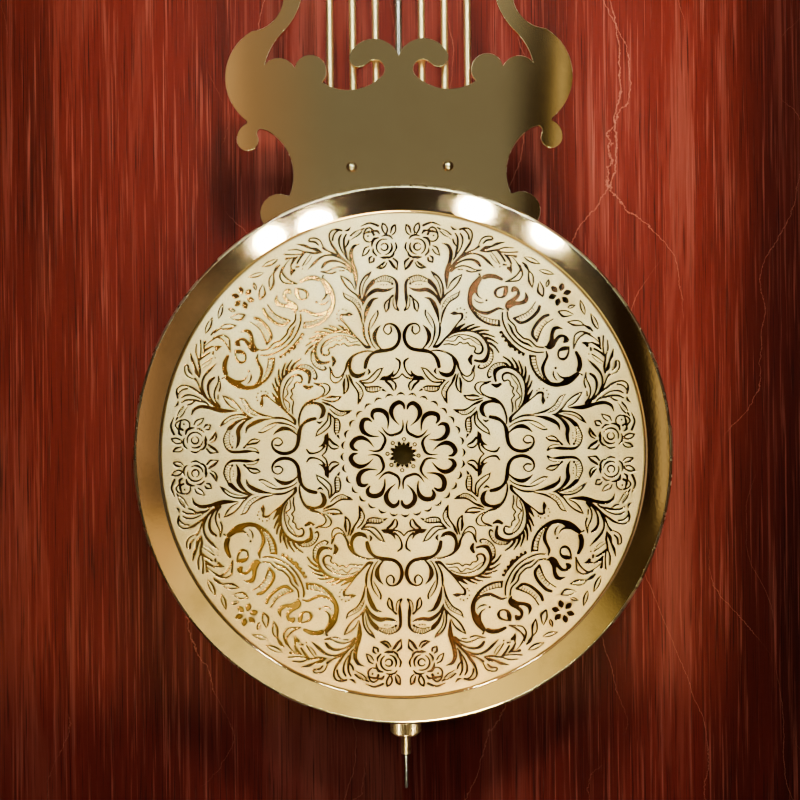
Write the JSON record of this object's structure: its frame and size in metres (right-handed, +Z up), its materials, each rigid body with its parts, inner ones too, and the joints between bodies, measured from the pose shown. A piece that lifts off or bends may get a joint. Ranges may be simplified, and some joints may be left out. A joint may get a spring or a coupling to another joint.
{
  "type": "longcase clock",
  "caption": "Glazed longcase clock with a gridiron lyre pendulum, wheel train with anchor escapement, weight and pulley, opening doors and a hood that slides off.",
  "frame": {"origin": "on the floor under the middle of the case's bounding box", "axes": "+X to the right seen from the front, +Y back towards the wall, +Z up"},
  "size_m": [0.53, 0.27, 2.149],
  "materials": {
    "mahogany": "french polished mahogany",
    "red_back_board": "red stained and varnished mahogany",
    "dark_mask": "dark stained and waxed",
    "oak": "bare, waxed",
    "clear_glass": "clear, polished",
    "hinge_brass": "polished, lacquered",
    "dial_brass": "matted and lacquered",
    "silvered_ring": "silvered, satin",
    "movement_brass": "polished",
    "polished_steel": "polished",
    "blued_steel": "heat blued",
    "rod_brass": "bright drawn",
    "lyre_brass": "mirror polished",
    "rivet_brass": "bright polished",
    "bob_polish": "mirror polished",
    "bob_engraved": "stippled satin ground with polished engraving",
    "lead": "as cast",
    "nut_brass": "knurled",
    "weight_brass": "polished",
    "gut_line": "twisted gut line"
  },
  "bodies": {
    "case": {"skirting": "mahogany", "plinth_box": "mahogany", "back_board": "red_back_board", "trunk_sides": "mahogany", "trunk_front": "mahogany", "waist_moulding": "mahogany", "throat_moulding": "mahogany", "seatboard": "oak", "trunk_hinge_plates": "hinge_brass", "dial_plate": "dial_brass", "chapter_ring": "silvered_ring", "front_plate": "movement_brass", "back_plate": "movement_brass", "pillars": "movement_brass", "back_cock": "movement_brass"},
    "trunk_door": {"trunk_door_frame": "mahogany", "trunk_door_glass": "clear_glass", "trunk_door_hinges": "hinge_brass", "trunk_door_knob": "hinge_brass"},
    "hood": {"hood_sides": "mahogany", "hood_front": "mahogany", "hood_mask": "dark_mask", "hood_columns": "mahogany", "hood_roof": "mahogany", "cornice": "mahogany", "pediment": "mahogany", "finials": "hinge_brass", "hood_hinge_plates": "hinge_brass"},
    "hood_door": {"hood_door_frame": "mahogany", "hood_door_glass": "clear_glass", "hood_door_hinges": "hinge_brass", "hood_door_knob": "hinge_brass"},
    "pendulum": {"suspension_spring": "polished_steel", "pendulum_leader": "rod_brass", "brass_rods": "rod_brass", "steel_rod": "polished_steel", "rod_bridges": "rod_brass", "lyre_plate": "lyre_brass", "lyre_rivets": "rivet_brass"},
    "bob": {"bob_shell": "bob_polish", "bob_disc": "bob_engraved", "bob_lead": "lead", "bob_back": "bob_polish"},
    "rating_nut": {"rating_nut": "nut_brass"},
    "anchor": {"anchor_crutch": "polished_steel"},
    "centre": {"centre_arbor": "movement_brass", "minute_hand": "blued_steel"},
    "great_wheel": {"great_wheel": "movement_brass"},
    "third": {"third_arbor": "movement_brass"},
    "escape": {"escape_arbor": "movement_brass", "seconds_hand": "blued_steel"},
    "minute_wheel": {"minute_wheel": "movement_brass"},
    "hour": {"hour_wheel": "movement_brass", "hour_hand": "blued_steel"},
    "barrel": {"going_barrel": "movement_brass", "barrel_line": "gut_line"},
    "weight": {"weight": "weight_brass", "weight_line": "gut_line"},
    "pulley": {"pulley": "weight_brass"}
  },
  "joints": [
    {"name": "trunk_door_hinge", "type": "hinge", "parent": "case", "child": "trunk_door", "pos_m": [0.171, -0.0839, 0.525], "axis": [0, 0, 1], "range_deg": [0, 100]},
    {"name": "hood_slide", "type": "slide", "parent": "case", "child": "hood", "axis": [0, -1, 0], "range_m": [0, 0.2]},
    {"name": "hood_door_hinge", "type": "hinge", "parent": "hood", "child": "hood_door", "pos_m": [0.191, -0.1139, 1.686], "axis": [0, 0, 1], "range_deg": [0, 100]},
    {"name": "pendulum_swing", "type": "hinge", "parent": "case", "child": "pendulum", "pos_m": [0, 0.07, 1.75428], "axis": [0, 1, 0], "range_deg": [-1.8, 1.8]},
    {"name": "bob_slide", "type": "slide", "parent": "pendulum", "child": "bob", "axis": [0, 0, 1], "range_m": [-0.0024, 0.0024]},
    {"name": "rating_nut_turn", "type": "hinge", "parent": "bob", "child": "rating_nut", "pos_m": [0, 0.07, 0.64828], "axis": [0, 0, 1], "continuous": true},
    {"name": "anchor_rock", "type": "hinge", "parent": "case", "child": "anchor", "pos_m": [0, 0.07, 1.75428], "axis": [0, 1, 0], "range_deg": [-1.8, 1.8]},
    {"name": "minute_turn", "type": "hinge", "parent": "case", "child": "centre", "pos_m": [0, -0.043, 1.686], "axis": [0, 1, 0], "continuous": true},
    {"name": "great_turn", "type": "hinge", "parent": "case", "child": "great_wheel", "pos_m": [0, -0.043, 1.65376], "axis": [0, 1, 0], "continuous": true},
    {"name": "third_turn", "type": "hinge", "parent": "case", "child": "third", "pos_m": [0.01072, -0.043, 1.70725], "axis": [0, 1, 0], "continuous": true},
    {"name": "escape_turn", "type": "hinge", "parent": "case", "child": "escape", "pos_m": [0, -0.043, 1.726], "axis": [0, 1, 0], "continuous": true},
    {"name": "minute_wheel_turn", "type": "hinge", "parent": "case", "child": "minute_wheel", "pos_m": [0.027, -0.043, 1.686], "axis": [0, 1, 0], "continuous": true},
    {"name": "hour_turn", "type": "hinge", "parent": "case", "child": "hour", "pos_m": [0, -0.043, 1.686], "axis": [0, 1, 0], "continuous": true},
    {"name": "weight_drop", "type": "slide", "parent": "case", "child": "weight", "axis": [0, 0, 1], "range_m": [-1.02, 0], "deforming": ["weight_line"]},
    {"name": "barrel_turn", "type": "hinge", "parent": "case", "child": "barrel", "pos_m": [0, -0.043, 1.65376], "axis": [0, 1, 0], "range_deg": [-5620, 0]},
    {"name": "pulley_turn", "type": "hinge", "parent": "weight", "child": "pulley", "pos_m": [0, -0.026, 1.53], "axis": [0, 1, 0], "range_deg": [-2811, 0]}
  ],
  "couplings": [
    {"joint": "rating_nut_turn", "follows": "bob_slide", "rad_per_m": 7854},
    {"joint": "anchor_rock", "follows": "pendulum_swing", "ratio": 1},
    {"joint": "great_turn", "follows": "minute_turn", "ratio": -0.083333},
    {"joint": "third_turn", "follows": "minute_turn", "ratio": -7.5},
    {"joint": "escape_turn", "follows": "minute_turn", "ratio": 60},
    {"joint": "minute_wheel_turn", "follows": "minute_turn", "ratio": -1},
    {"joint": "hour_turn", "follows": "minute_turn", "ratio": 0.083333},
    {"joint": "barrel_turn", "follows": "weight_drop", "rad_per_m": 96.154},
    {"joint": "pulley_turn", "follows": "weight_drop", "rad_per_m": 48.077}
  ]
}
